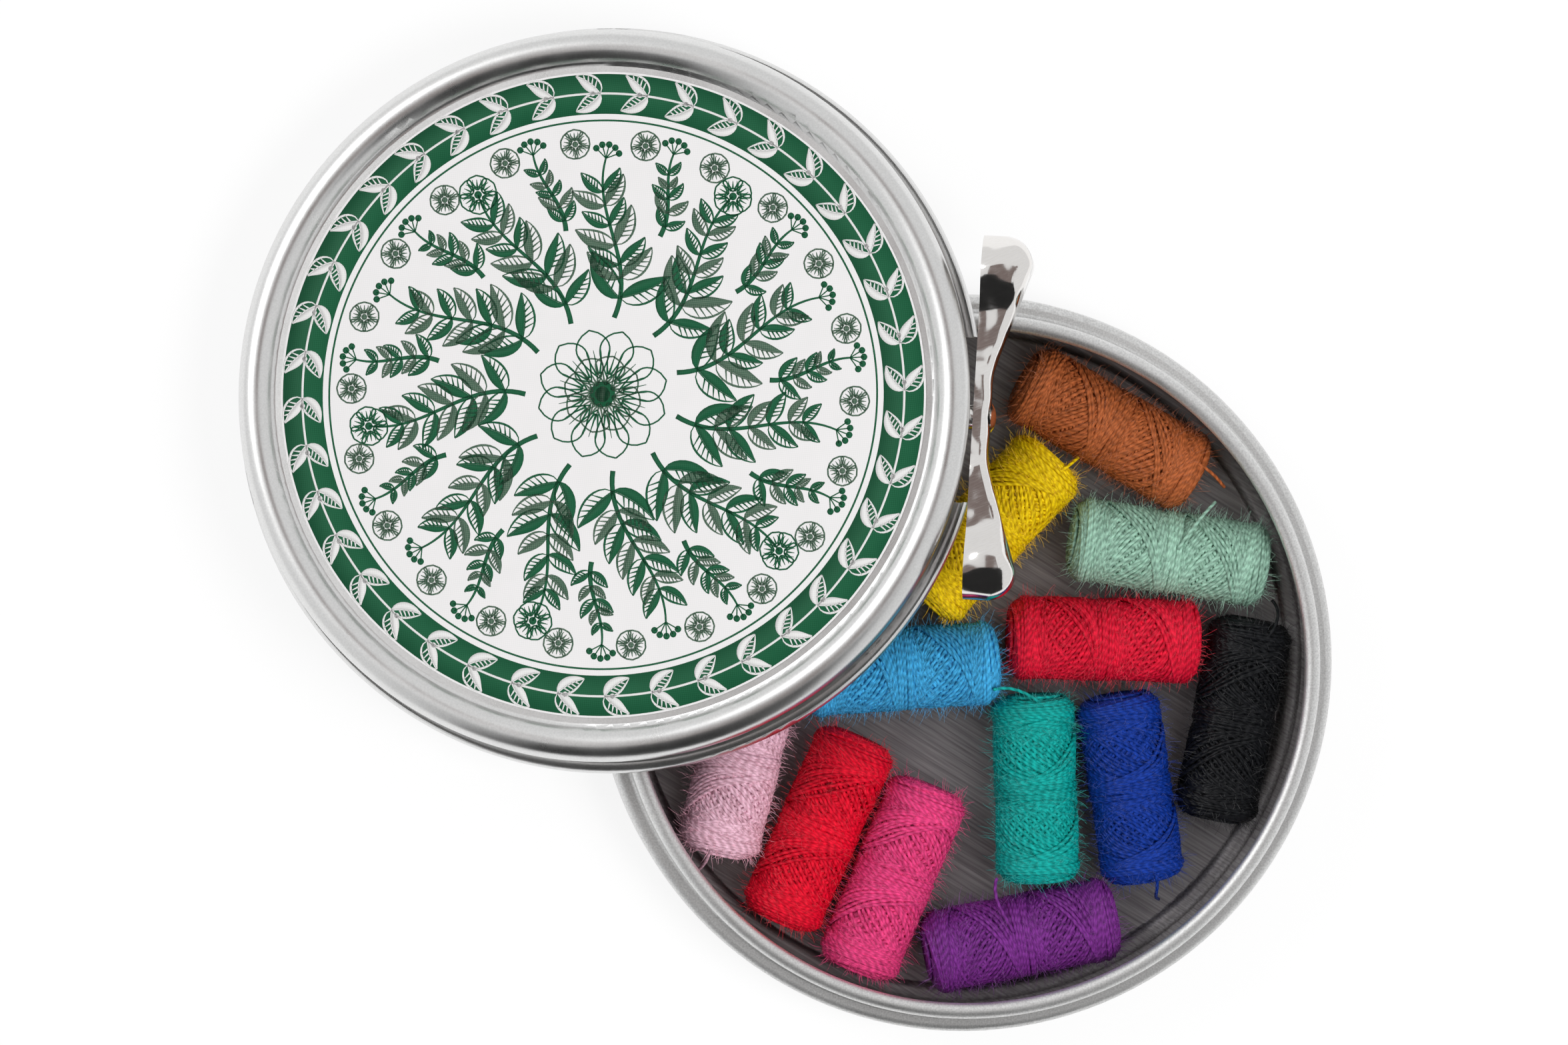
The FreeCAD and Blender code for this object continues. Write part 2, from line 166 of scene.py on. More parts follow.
# Loose thread ends: points along the cocoon's axis, across it and above its middle
TAILS = {
    "brown": [(8.6, 1.2, 4.2), (10.6, 1.6, 4.0), (12.4, 1.2, 2.6), (14.0, 0.6, 1.2)],
    "sage": [(0.4, 0.6, 4.5), (1.6, 3.2, 4.6), (2.8, 4.9, 3.6), (4.0, 6.2, 2.2)],
    "black": [(9.0, -1.0, 4.2), (11.0, -2.2, 4.4), (12.6, -2.6, 3.4), (13.6, -1.4, 2.0)],
    "royal_blue": [(9.2, 0.8, 4.0), (11.2, 1.4, 3.0), (12.2, 0.4, 0.6), (13.0, 1.6, -3.6)],
    "light_pink": [(-9.0, 0.6, 4.0), (-10.8, 1.4, 3.0), (-12.2, 0.6, 0.4), (-13.4, 1.8, -3.0)],
    "purple": [(-1.0, 1.0, 4.5), (-2.0, 3.8, 4.4), (-2.6, 5.4, 3.6), (-1.6, 7.0, 3.0)],
    "teal": [(-9.6, 0.4, 3.8), (-11.0, -1.2, 3.4), (-11.6, -3.0, 3.2), (-11.2, -4.6, 3.6)],
    "yellow": [(9.0, -0.8, 3.9), (10.6, -1.8, 3.8), (12.0, -1.6, 2.0), (13.2, -2.4, -1.0)],
}

# Printed label, in millimetres
FILM = 0.012
BORDER_OUTER = 34.4
BORDER_INNER = 30.1
LINE_OUTER = 29.5
LINE_INNER = 29.3
GARLAND_RADIUS = 32.3
GARLAND_LEAVES = 40
GARLAND_LEAF = (3.3, 1.7)
GARLAND_SPREAD = 0.66
GARLAND_STEM = 0.24
GARLAND_BERRY = 0.28
SPRIGS = 11
SPRIG_FOOT = 7.6
SPRIG_LENGTH = 17.5
SIDE_SPRIG_FOOT = 17.6
SIDE_SPRIG_LENGTH = 9.0
SMALL_FLOWER_PLACE = 27.0
SMALL_FLOWER_RADIUS = 1.6
TIP_FLOWER_RADIUS = 2.1
BERRY_STALK = 1.5
BERRY_RADIUS = 0.36
FINE_PETALS_ABOVE = 3
RIB_GAP = 0.07
PEN_LEAST = 0.03

# Inks and paper: linear colour, colour of the halftone dots and the share of these
GREEN_INK = (0.004, 0.072, 0.029, 1), (0.020, 0.140, 0.066, 1), 0.5
GREY_INK = (0.022, 0.080, 0.046, 1), (0.190, 0.240, 0.185, 1), 0.6
BARE_PRINT = (0.76, 0.74, 0.74, 1), (0.50, 0.55, 0.51, 1), 0.4
PAPER = (0.77, 0.75, 0.755, 1), (0.58, 0.60, 0.58, 1), 0.35
HALFTONE_PITCH = 0.3 * MM
HALFTONE_ANGLE = math.radians(40)


class Finish:
    """A procedural material. Nodes are added by kind, and inputs take values or other outputs."""

    def __init__(self, name):
        self.material = bpy.data.materials.new(name)
        self.material.use_nodes = True
        self.tree = self.material.node_tree
        self.tree.nodes.clear()

    def add(self, kind, inputs=None, **settings):
        node = self.tree.nodes.new("ShaderNode" + kind)
        for key, value in settings.items():
            setattr(node, key, value)
        for key, value in (inputs or {}).items():
            if isinstance(value, bpy.types.NodeSocket):
                self.tree.links.new(value, node.inputs[key])
            else:
                node.inputs[key].default_value = value
        return node

    def math(self, operation, first, second=0.0):
        return self.add("Math", {0: first, 1: second}, operation=operation).outputs[0]

    def remap(self, value, low, high, to_low, to_high):
        inputs = {"Value": value, "From Min": low, "From Max": high}
        inputs.update({"To Min": to_low, "To Max": to_high})
        return self.add("MapRange", inputs).outputs[0]

    def blend(self, factor, first, second):
        """Colour that goes from the first to the second with the factor."""
        inputs = {0: factor, 6: first, 7: second}
        return self.add("Mix", inputs, data_type="RGBA").outputs[2]

    def noise(self, vector, cell, detail=2.0):
        """Noise with cells about this long, in metres."""
        inputs = {"Vector": vector, "Scale": 1 / cell, "Detail": detail}
        return self.add("TexNoise", inputs).outputs["Fac"]

    def turned(self, vector, angle):
        inputs = {"Vector": vector, "Rotation": (0, 0, angle)}
        return self.add("Mapping", inputs).outputs[0]

    def grain(self, vector, angle, stretch):
        """Places stretched along a direction, so that noise there becomes brush marks."""
        inputs = {"Vector": vector, "Rotation": (0, 0, angle), "Scale": (stretch, 1, 1)}
        return self.add("Mapping", inputs, vector_type="TEXTURE").outputs[0]

    def place(self):
        return self.add("TexCoord").outputs["Object"]

    def bump(self, height, distance, strength=1.0):
        inputs = {"Height": height, "Distance": distance, "Strength": strength}
        return self.add("Bump", inputs).outputs[0]

    def surface(self, inputs):
        shader = self.add("BsdfPrincipled", inputs)
        self.add("OutputMaterial", {"Surface": shader.outputs[0]})
        return self.material


def tinted(colour, share=1.0):
    return (*(c * share for c in colour), 1.0)


def satin_metal(name, roughness, sandy, brushed_and_shaded_below=None):
    """Drawn aluminium with a sandy grain. Faces below a height, the tin's floor, are brushed and
    painted darker as shade.
    """
    finish = Finish(name)
    place = finish.place()
    sand = finish.noise(place, SAND_CELL, 2)
    patches = finish.noise(place, 5 * MM, 3)
    shade = finish.remap(sand, *NOISE_RANGE, 0.5 - 0.5 * sandy, 0.5 + 0.5 * sandy)
    colour = finish.blend(shade, *SATIN)
    rough_range = (roughness - ROUGHNESS_SPREAD, roughness + ROUGHNESS_SPREAD)
    rough = finish.remap(patches, *NOISE_RANGE, *rough_range)
    height = sand
    if brushed_and_shaded_below is not None:
        streaks = finish.noise(finish.grain(place, BRUSH_ANGLE, BRUSH_STRETCH), 0.22 * MM, 3)
        depth = finish.add("SeparateXYZ", {0: place}).outputs["Z"]
        floor = finish.math("LESS_THAN", depth, brushed_and_shaded_below)
        lines = finish.remap(streaks, *NOISE_RANGE, 0.0, 1.0)
        # The tin's floor takes the darker pair: brushed streaks with painted shade
        colour = finish.blend(floor, colour, finish.blend(lines, *BRUSHED_AND_SHADED))
        rough = finish.math("ADD", rough, finish.math("MULTIPLY", floor, 0.08))
        height = finish.math("ADD", sand, finish.math("MULTIPLY", floor, streaks))
    normal = finish.bump(height, SAND_RELIEF, 0.5 * sandy)
    metal = {"Base Color": colour, "Metallic": 1.0, "Roughness": rough}
    return finish.surface({**metal, "Normal": normal})


def bright_plate(name):
    """Polished nickel with shallow dents and faint scuffs."""
    finish = Finish(name)
    place = finish.place()
    dents = finish.noise(place, DENT_CELL, 1)
    scuffs = finish.noise(finish.grain(place, 0.4, 12), 0.12 * MM, 2)
    rough = finish.remap(scuffs, 0.35, 0.75, 0.10, 0.20)
    colour = finish.blend(scuffs, *NICKEL)
    normal = finish.bump(dents, DENT_DEPTH)
    metal = {"Base Color": colour, "Metallic": 1.0, "Roughness": rough}
    return finish.surface({**metal, "Normal": normal})


def print_dots(finish):
    """A printer's screen of round dots, turned as a halftone is, from 0 to 1."""
    parts = finish.add("SeparateXYZ", {0: finish.turned(finish.place(), HALFTONE_ANGLE)})
    turns = [finish.math("MULTIPLY", parts.outputs[i], TAU / HALFTONE_PITCH) for i in (0, 1)]
    waves = [finish.math("SINE", turn) for turn in turns]
    return finish.remap(finish.math("MULTIPLY", *waves), -1, 1, 0, 1)


def printed_paper(name, colour, dot_colour, dot_share):
    """Paper or ink under a fine halftone screen, with the paper's own fibres as relief."""
    finish = Finish(name)
    place = finish.place()
    fibres = finish.noise(place, 0.3 * MM, 3)
    cloud = finish.remap(finish.noise(place, 2.5 * MM, 2), *NOISE_RANGE, -0.12, 0.12)
    dots = finish.math("MULTIPLY", print_dots(finish), dot_share)
    uneven = finish.math("ADD", dots, finish.math("MULTIPLY", cloud, dot_share))
    mixed = finish.blend(uneven, colour, dot_colour)
    normal = finish.bump(fibres, 0.02 * MM, 0.35)
    matt = {"Roughness": 0.6, "Specular IOR Level": 0.25}
    return finish.surface({"Base Color": mixed, "Normal": normal, **matt})


def thread_finish(name, dye):
    """Two-ply thread: slanting plies as relief, with painted shade in their grooves and painted
    highlights on their crests, uneven dye and a low shine.
    """
    finish = Finish(name)
    along = finish.add("SeparateXYZ", {0: finish.add("UVMap").outputs[0]})
    turns = finish.math("ADD", along.outputs[0], finish.math("MULTIPLY", along.outputs[1], 2.0))
    plies = finish.remap(finish.math("SINE", finish.math("MULTIPLY", turns, TAU)), -1, 1, 0, 1)
    strand = finish.add("NewGeometry").outputs["Random Per Island"]
    uneven = finish.noise(finish.place(), 0.5 * MM, 3)
    own_shade = finish.math("MULTIPLY", strand, 0.3)
    light = finish.math("ADD", finish.math("MULTIPLY", plies, 0.45), own_shade)
    light = finish.math("ADD", light, finish.remap(uneven, *NOISE_RANGE, -0.05, 0.25))
    # The dye goes between a darker and a brighter copy of itself along the plies: painted shade in
    # their grooves and painted highlight on their crests
    bright = tinted([min(1, c * 1.2 + 0.004) for c in dye])
    colour = finish.blend(light, tinted(dye, 0.42), bright)
    normal = finish.bump(plies, 0.07 * MM, 0.7)
    shine = {"Roughness": 0.4, "Specular IOR Level": 0.2}
    return finish.surface({"Base Color": colour, "Normal": normal, **shine})


def fuzz_finish(name, dye):
    """Loose fibres, paler than the thread because light passes through them."""
    finish = Finish(name)
    fibre = finish.add("NewGeometry").outputs["Random Per Island"]
    pale = tinted([0.8 * c + 0.08 for c in dye])
    colour = finish.blend(fibre, tinted(dye), pale)
    return finish.surface({"Base Color": colour, "Roughness": 0.6})


def skin_quads(stations, sides, closed=False):
    """Quads over a row of rings. An open row has both ends capped, and a closed one has no ends."""
    ring = np.arange(sides)
    near = np.arange(stations if closed else stations - 1)[:, None]
    far = (near + 1) % stations
    after = (ring + 1) % sides
    corners = [near * sides + ring, near * sides + after, far * sides + after, far * sides + ring]
    skin = np.stack(corners, -1).reshape(-1, 4)
    if closed:
        return skin
    step = np.arange(sides // 2 - 1)
    cap = np.stack([step, step + 1, sides - 2 - step, sides - 1 - step], -1)
    return np.concatenate([skin, cap[:, ::-1], cap + (stations - 1) * sides])


def unit(vectors):
    return vectors / np.linalg.norm(vectors, axis=-1, keepdims=True)


class Skin:
    """Quads gathered from many closed pieces into one mesh."""

    def __init__(self):
        self.points, self.quads, self.uvs, self.slots = [], [], [], []
        self.count = 0

    def rings(self, rings, slot=0, lengths=None, closed=False):
        """A skin over rings of points, with the ring's place as u and the place round it as v."""
        stations, sides = rings.shape[:2]
        quads = skin_quads(stations, sides, closed)
        u = np.zeros(stations) if lengths is None else lengths
        corner_u = np.append(u, u[-1])[quads // sides]
        corner_v = (quads % sides) / sides
        wraps = (quads % sides == 0) & ((quads % sides).max(1, keepdims=True) == sides - 1)
        corner_v = np.where(wraps & (sides > 2), 1.0, corner_v)
        self.points.append(rings.reshape(-1, 3))
        self.quads.append(quads + self.count)
        self.uvs.append(np.stack([corner_u, corner_v], -1).reshape(-1, 2))
        self.slots.append(np.full(len(quads), slot))
        self.count += stations * sides

    def tube(self, path, outward, radius, sides, slot=0):
        """A round tube along a path. Outward is a direction off the path at each of its points."""
        tangent = unit(np.gradient(path, axis=0))
        across = unit(np.cross(tangent, outward))
        over = np.cross(across, tangent)
        turn = np.arange(sides) * TAU / sides
        circle = np.cos(turn)[:, None] * over[:, None] + np.sin(turn)[:, None] * across[:, None]
        radii = np.broadcast_to(radius, len(path))[:, None, None]
        steps = np.linalg.norm(np.diff(path, axis=0), axis=1)
        lengths = np.append(0, np.cumsum(steps)) / TWIST_LENGTH
        self.rings(path[:, None] + radii * circle[:, ::-1], slot, lengths)

    def build(self, name, materials, matrix):
        """The mesh as an object, with its millimetres put in place by the matrix."""
        points = np.concatenate(self.points) @ np.array(matrix.to_3x3()).T * MM
        points = points + np.array(matrix.translation)
        mesh = bpy.data.meshes.new(name)
        mesh.from_pydata(points, [], np.concatenate(self.quads), shade_flat=False)
        layer = mesh.uv_layers.new(name="UVMap")
        layer.data.foreach_set("uv", np.concatenate(self.uvs).ravel())
        mesh.polygons.foreach_set("material_index", np.concatenate(self.slots))
        for material in materials:
            mesh.materials.append(material)
        mesh.update()
        piece = bpy.data.objects.new(name, mesh)
        bpy.context.scene.collection.objects.link(piece)
        return piece


def node_points(name):
    """A CAD node's vertices at rest, in metres."""
    vertices = frame["nodes"][name].data.vertices
    points = np.empty(len(vertices) * 3, np.float32)
    vertices.foreach_get("co", points)
    return points.reshape(-1, 3).astype(float)


def cocoon_frame(name):
    """Where a bobbin's solid lies, with its axis as X, and its length and radius in millimetres."""
    points = node_points(name)
    flat = points[:, :2] - points[:, :2].mean(0)
    axis = np.linalg.eigh(flat.T @ flat)[1][:, -1]
    axis = axis * (1 if axis[0] >= 0 else -1)
    turned = np.array([[axis[0], axis[1], 0], [-axis[1], axis[0], 0], [0, 0, 1]])
    local = points @ turned.T
    low, high = local.min(0), local.max(0)
    matrix = Matrix(turned.T.tolist()).to_4x4()
    matrix.translation = Vector((low + high) / 2 @ turned)
    sizes = (high - low) / MM
    return matrix, sizes[0], sizes[2] / 2


class Cocoon:
    """A barrel of wound thread with rounded ends, measured along its outline from its middle."""

    def __init__(self, length, radius, rng):
        self.length, self.radius, self.rng = length, radius, rng
        self.straight = length / 2 - END_ROUND
        self.arc = END_ROUND * math.pi / 2
        self.shoulder = self.straight + self.arc

    def outline(self, run, inset):
        """Place along the axis, radius and outward slope at a run along the outline."""
        far = np.abs(run)
        bend = np.clip((far - self.straight) / END_ROUND, 0, math.pi / 2)
        inward = np.maximum(far - self.shoulder, 0)
        lean, rise = np.sin(bend), np.cos(bend)
        place = np.minimum(far, self.straight) + (END_ROUND * lean) - inset * lean
        radius = self.radius - END_ROUND * (1 - rise) - inward - inset * rise
        radius = radius - WAIST_DEPTH * np.exp(-((run / WAIST_WIDTH) ** 2))
        return place * np.sign(run), radius, lean * np.sign(run), rise

    def points(self, run, angle, inset):
        """Points on the surface and the directions out of it."""
        place, radius, lean, rise = self.outline(run, inset)
        round_y, round_z = np.cos(angle), np.sin(angle)
        return (
            np.stack([place, radius * round_y, radius * round_z], -1),
            np.stack([lean, rise * round_y, rise * round_z], -1),
        )

    def strand(self, run, angle, inset):
        """A strand's path, with points a step apart along it."""
        path, _ = self.points(run, angle, inset)
        lengths = np.append(0, np.cumsum(np.linalg.norm(np.diff(path, axis=0), axis=1)))
        count = max(4, math.ceil(lengths[-1] / STRAND_STEP))
        even = np.linspace(0, lengths[-1], count)
        depths = np.interp(even, lengths, np.broadcast_to(inset, len(lengths)))
        return self.points(np.interp(even, lengths, run), np.interp(even, lengths, angle), depths)

    def traverses(self, skin):
        """Crossing strands: steep between the ends and the middle, and shallow at these."""
        reach = self.straight + TRAVERSE_END * self.arc
        run = np.linspace(-reach, reach, 200)
        share = np.clip(np.abs(run) / self.straight, 0, 1)
        lay = SHALLOW_LAY + (STEEP_LAY - SHALLOW_LAY) * np.sin(math.pi * share) ** 2
        slope = 1 / (self.radius * np.tan(lay))
        angle = np.append(0, np.cumsum((slope[1:] + slope[:-1]) / 2 * np.diff(run)))
        for number in range(TRAVERSES):
            way = 1 if number % 2 else -1
            start = TAU * (number // 2) / (TRAVERSES / 2)
            start += self.rng.uniform(-START_JITTER, START_JITTER)
            depth = STRAND_RADIUS + LAY_DEPTH * (1 - number / TRAVERSES)
            wobble = WOBBLE * np.sin(run * self.rng.uniform(0.6, 1.4) + self.rng.uniform(0, TAU))
            path, out = self.strand(run + 3 * wobble, way * angle + start, depth + wobble)
            skin.tube(path, out, STRAND_RADIUS, STRAND_SIDES)

    def wraps(self, skin, middle, turns, pitch):
        """Close turns side by side round a place on the outline."""
        angle = np.linspace(0, turns * TAU, 40 * turns)
        run = middle + pitch * (angle / TAU - turns / 2) + 0.08 * np.sin(angle * 0.37)
        path, out = self.strand(run, angle + self.rng.uniform(0, TAU), STRAND_RADIUS * 0.75)
        skin.tube(path, out, STRAND_RADIUS, STRAND_SIDES)

    def end_face(self, skin, way):
        """A flat spiral of strand from the shoulder in to the hole left by the mandrel."""
        flat = self.radius - END_ROUND - END_FACE_HOLE
        turns = max(1, round(flat / (2 * STRAND_RADIUS)))
        angle = np.linspace(0, turns * TAU, 30 * turns)
        run = way * (self.shoulder - 0.3 + (flat + 0.3) * angle / angle[-1])
        path, out = self.strand(run, angle, STRAND_RADIUS * 1.2)
        skin.tube(path, out, STRAND_RADIUS, STRAND_SIDES)

    def core(self, skin):
        """The wound mass below the outer strands."""
        reach = self.shoulder + self.radius - END_ROUND - END_FACE_HOLE
        run = np.linspace(-reach, reach, CORE_STATIONS)
        angle = -np.arange(CORE_SIDES) * TAU / CORE_SIDES
        depth = LAY_DEPTH + STRAND_RADIUS
        rings = [self.points(np.full(CORE_SIDES, r), angle, depth)[0] for r in run]
        skin.rings(np.stack(rings))

    def fuzz(self, skin):
        """Short loose fibres that bend away from the surface."""
        for _ in range(HAIRS):
            run = np.full(1, self.rng.uniform(-self.shoulder, self.shoulder))
            angle = np.full(1, self.rng.uniform(HAIRS_ABOVE, math.pi - HAIRS_ABOVE))
            root, out = (v[0] for v in self.points(run, angle, HAIR_ROOT))
            aside = unit(np.array([self.rng.gauss(0, 1) for _ in range(3)]))
            length = self.rng.uniform(*HAIR_LENGTHS)
            steps = np.linspace(0, 1, HAIR_POINTS)[:, None]
            bend = steps * (0.75 * out + 0.6 * aside) + steps**2 * 0.5 * aside[[1, 2, 0]]
            path = root + length * bend
            across = np.cross(path[-1] - path[0], aside[[2, 0, 1]])
            taper = HAIR_RADIUS * np.linspace(1.1, 0.45, HAIR_POINTS)
            skin.tube(path, np.broadcast_to(unit(across), path.shape), taper, 4, slot=1)

    def tail(self, skin, controls):
        """A loose end: a strand that leaves the surface along a smooth curve."""
        t = np.linspace(0, 1, 26)[:, None]
        a, b, c, d = (np.array(p) for p in controls)
        path = (1 - t) ** 3 * a + 3 * t * (1 - t) ** 2 * b + 3 * t**2 * (1 - t) * c + t**3 * d
        out = np.broadcast_to(np.array([0.1, 0.2, 1.0]), path.shape)
        skin.tube(path, out, STRAND_RADIUS * 0.9, STRAND_SIDES)


def wound_bobbin(node, seed):
    """Replaces a bobbin's solid by its cocoon of wound thread."""
    colour = node.removeprefix("bobbin_")
    matrix, length, radius = cocoon_frame(node)
    cocoon = Cocoon(length, radius + SWELL, random.Random(seed))
    skin = Skin()
    cocoon.core(skin)
    cocoon.traverses(skin)
    cocoon.wraps(skin, 0, BAND_TURNS, BAND_PITCH)
    for way in (-1, 1):
        cocoon.wraps(skin, way * (cocoon.straight + END_BAND_PLACE), END_BAND_TURNS, BAND_PITCH)
        cocoon.end_face(skin, way)
    cocoon.fuzz(skin)
    if colour in TAILS:
        cocoon.tail(skin, TAILS[colour])
    dye = DYES[colour]
    finishes = [thread_finish("thread_" + colour, dye), fuzz_finish("fuzz_" + colour, dye)]
    piece = skin.build(colour + "_winding", finishes, matrix)
    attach(piece, frame["nodes"][node]["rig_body"])
    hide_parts(node)


def label_frame():
    """The label's upper face: its middle, with its outward direction as Z."""
    points = node_points("lid_label")
    middle = points.mean(0)
    up = np.linalg.eigh((points - middle).T @ (points - middle))[1][:, 0]
    up = up * (1 if up[2] > 0 else -1)
    east = unit(np.array([1.0, 0, 0]) - up[0] * up)
    axes = np.stack([east, np.cross(up, east), up])
    local = points @ axes.T
    low, high = local.min(0), local.max(0)
    top = np.array([(low[0] + high[0]) / 2, (low[1] + high[1]) / 2, high[2]])
    matrix = Matrix(axes.T.tolist()).to_4x4()
    matrix.translation = Vector(top @ axes)
    return matrix


def toward(heading, distance=1.0):
    """The point at this distance in a direction."""
    return distance * np.array([math.cos(heading), math.sin(heading)])


class Print:
    """Ink on the label: thin films, drawn in the plane of its face."""

    def __init__(self, rng):
        self.skin, self.rng = Skin(), rng

    def film(self, left, right, slot, level=0, closed=False):
        """A film between two edges."""
        low, high = level * FILM, (level + 1) * FILM
        edges = [(left, low), (right, low), (right, high), (left, high)]
        rings = [np.column_stack([edge, np.full(len(edge), height)]) for edge, height in edges]
        self.skin.rings(np.stack(rings, 1), slot, closed=closed)

    def stroke(self, path, widths, slot=0, level=0):
        """A pen line whose width changes along it."""
        tangent = unit(np.gradient(path, axis=0))
        aside = np.column_stack([-tangent[:, 1], tangent[:, 0]])
        half = np.maximum(np.broadcast_to(widths, len(path)), PEN_LEAST)[:, None] / 2
        self.film(path + aside * half, path - aside * half, slot, level)

    def band(self, outer, inner, slot=0, level=0):
        turn = np.linspace(0, TAU, 240, endpoint=False)
        circle = np.column_stack([np.cos(turn), np.sin(turn)])
        self.film(outer * circle, inner * circle, slot, level, closed=True)

    def dot(self, centre, radius, slot=0, level=0):
        across = np.linspace(-0.97, 0.97, 7)
        width = np.sqrt(1 - across**2) * 2 * radius
        path = np.array(centre) + np.column_stack([across * radius, np.zeros(7)])
        self.stroke(path, width, slot, level)

    def leaf(self, foot, heading, length, width, curl=0.25, slot=0, veins=5, level=0):
        """A leaf with one half inked, the other hatched, and a pale rib between them."""
        t = np.linspace(0, 1, 11)
        bend = heading + curl * (t - 0.5)
        step = np.column_stack([np.cos(bend), np.sin(bend)]) * length / 10
        rib = np.array(foot) + np.concatenate([[[0, 0]], np.cumsum(step[1:], 0)])
        aside = np.column_stack([-np.sin(bend), np.cos(bend)])
        half = (width / 2 * np.sin(math.pi * t**0.8) ** 0.8)[:, None]
        inked = rib + np.maximum(half, RIB_GAP + 0.02) * aside
        self.film(inked, rib + RIB_GAP * aside, slot, level)
        edge = rib - half * aside
        self.stroke(edge, 0.16 * (0.5 + np.sin(math.pi * t)), slot, level)
        self.stroke(rib, 0.12, slot, level)
        for vein in range(1, veins + 1):
            place = 0.12 + 0.7 * vein / (veins + 1)
            index = place * 10
            ahead = min(10, index + 1.3)
            start = np.array([np.interp(index, range(11), rib[:, i]) for i in (0, 1)])
            end = np.array([np.interp(ahead, range(11), edge[:, i]) for i in (0, 1)])
            self.stroke(np.linspace(start, end, 3), [0.2, 0.14, 0.06], slot, level)

    def flower(self, centre, radius, petals, turn, slot=0, level=0):
        """An open flower: outlined petals with fine lines from a dotted heart."""
        centre = np.array(centre)
        count = 13 if radius > FINE_PETALS_ABOVE else 8
        for number in range(petals):
            heading = turn + TAU * number / petals
            ahead = toward(heading)
            aside = np.array([-ahead[1], ahead[0]])
            t = np.linspace(0, 1, count)
            wide = radius * math.sin(math.pi / petals) * np.sin(math.pi * t**1.4) ** 0.7
            rib = centre + np.outer(radius * (0.25 + 0.75 * t), ahead)
            for way in (-1, 1):
                self.stroke(rib + way * np.outer(wide, aside), 0.17, slot, level)
            for spread in (-0.45, 0.0, 0.45):
                line = (rib + np.outer(spread * wide, aside))[1 : count // 2 + 2]
                self.stroke(line, np.linspace(0.24, 0.05, len(line)), slot, level)
        self.dot(centre, radius * 0.2, slot, level)
        for number in range(9):
            spot = centre + toward(turn + TAU * number / 9, 0.33 * radius)
            self.dot(spot, 0.14, slot, level)

    def sprig(self, foot, heading, length, curl, leaves, kind):
        """A bending stem with leaves in pairs, and a flower or berries at its tip."""
        t = np.linspace(0, 1, 25)
        bend = heading + curl * np.sin(math.pi * t * 0.9)
        step = np.column_stack([np.cos(bend), np.sin(bend)]) * length / 24
        stem = np.array(foot) + np.cumsum(step, 0)
        self.stroke(stem, np.linspace(0.55, 0.2, 25))
        for number in range(leaves):
            index = 3 + round(19 * number / leaves)
            size = length * (0.30 - 0.14 * number / leaves) * self.rng.uniform(0.85, 1.15)
            for way in (-1, 1):
                turn = bend[index] + way * self.rng.uniform(0.65, 1.0)
                self.leaf(stem[index], turn, size, size * 0.42, way * -0.5, slot=number % 2)
        if kind == "flower":
            self.flower(stem[-1], TIP_FLOWER_RADIUS, 6, heading)
            return
        for number in range(5):
            tip = stem[-1] + toward(bend[-1] + (number - 2) * 0.5, BERRY_STALK)
            self.stroke(np.linspace(stem[-1], tip, 4), 0.13)
            self.dot(tip, BERRY_RADIUS)


def draw_border(drawing):
    """The green ring with its pale garland, and a fine line inside it."""
    drawing.band(BORDER_OUTER, BORDER_INNER)
    drawing.band(LINE_OUTER, LINE_INNER)
    pale = {"slot": 2, "level": 1}
    for number in range(GARLAND_LEAVES):
        angle = TAU * number / GARLAND_LEAVES
        foot = toward(angle, GARLAND_RADIUS)
        for way in (-1, 1):
            heading = angle + math.pi / 2 + way * GARLAND_SPREAD
            drawing.leaf(foot, heading, *GARLAND_LEAF, way * -0.6, veins=4, **pale)
        between = angle + TAU / GARLAND_LEAVES * 0.16
        drawing.dot(toward(between, GARLAND_RADIUS), GARLAND_BERRY, **pale)
    half_stem = GARLAND_STEM / 2
    drawing.band(GARLAND_RADIUS + half_stem, GARLAND_RADIUS - half_stem, **pale)


def draw_wreath(drawing):
    """A middle flower with long and short sprigs round it, and small flowers at their tips."""
    drawing.flower((0, 0), 7.0, 12, 0.2)
    drawing.flower((0, 0), 4.2, 8, 0.5, slot=1)
    for number in range(SPRIGS):
        heading = TAU * number / SPRIGS + 0.3
        kind = "flower" if number % 2 else "berries"
        drawing.sprig(toward(heading, SPRIG_FOOT), heading - 0.35, SPRIG_LENGTH, 0.75, 7, kind)
        side = heading + math.pi / SPRIGS + 0.06
        foot = toward(side, SIDE_SPRIG_FOOT)
        drawing.sprig(foot, side - 0.2, SIDE_SPRIG_LENGTH, 0.55, 5, "berries")
        for turn in (heading + 0.23, heading + 0.52):
            spot = toward(turn, SMALL_FLOWER_PLACE)
            drawing.flower(spot, SMALL_FLOWER_RADIUS, 5, turn, slot=1)


def printed_label():
    """A printed wreath in a green border, as films of ink on the label's face."""
    ink = printed_paper("ink_green", *GREEN_INK)
    grey = printed_paper("ink_grey_green", *GREY_INK)
    paper = printed_paper("paper_print", *BARE_PRINT)
    drawing = Print(random.Random(5))
    draw_border(drawing)
    draw_wreath(drawing)
    piece = drawing.skin.build("label_print", [ink, grey, paper], label_frame())
    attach(piece, "lid")


def dress_nodes():
    """Procedural finishes on the CAD nodes that stay in sight."""
    base = satin_metal("tin_base", BASE_ROUGHNESS, BASE_SANDY, TIN_FLOOR_TOP)
    lid = satin_metal("tin_lid", LID_ROUGHNESS, LID_SANDY)
    plate = bright_plate("key_plate")
    paper = printed_paper("label_paper", *PAPER)
    finishes = {
        "base_shell": base,
        "lid_shell": lid,
        "lid_label": paper,
        "opening_key": plate,
        "key_rivet": plate,
        "key_spacer": plate,
    }
    for name, finish in finishes.items():
        mesh = frame["nodes"][name].data
        mesh.materials.clear()
        mesh.materials.append(finish)


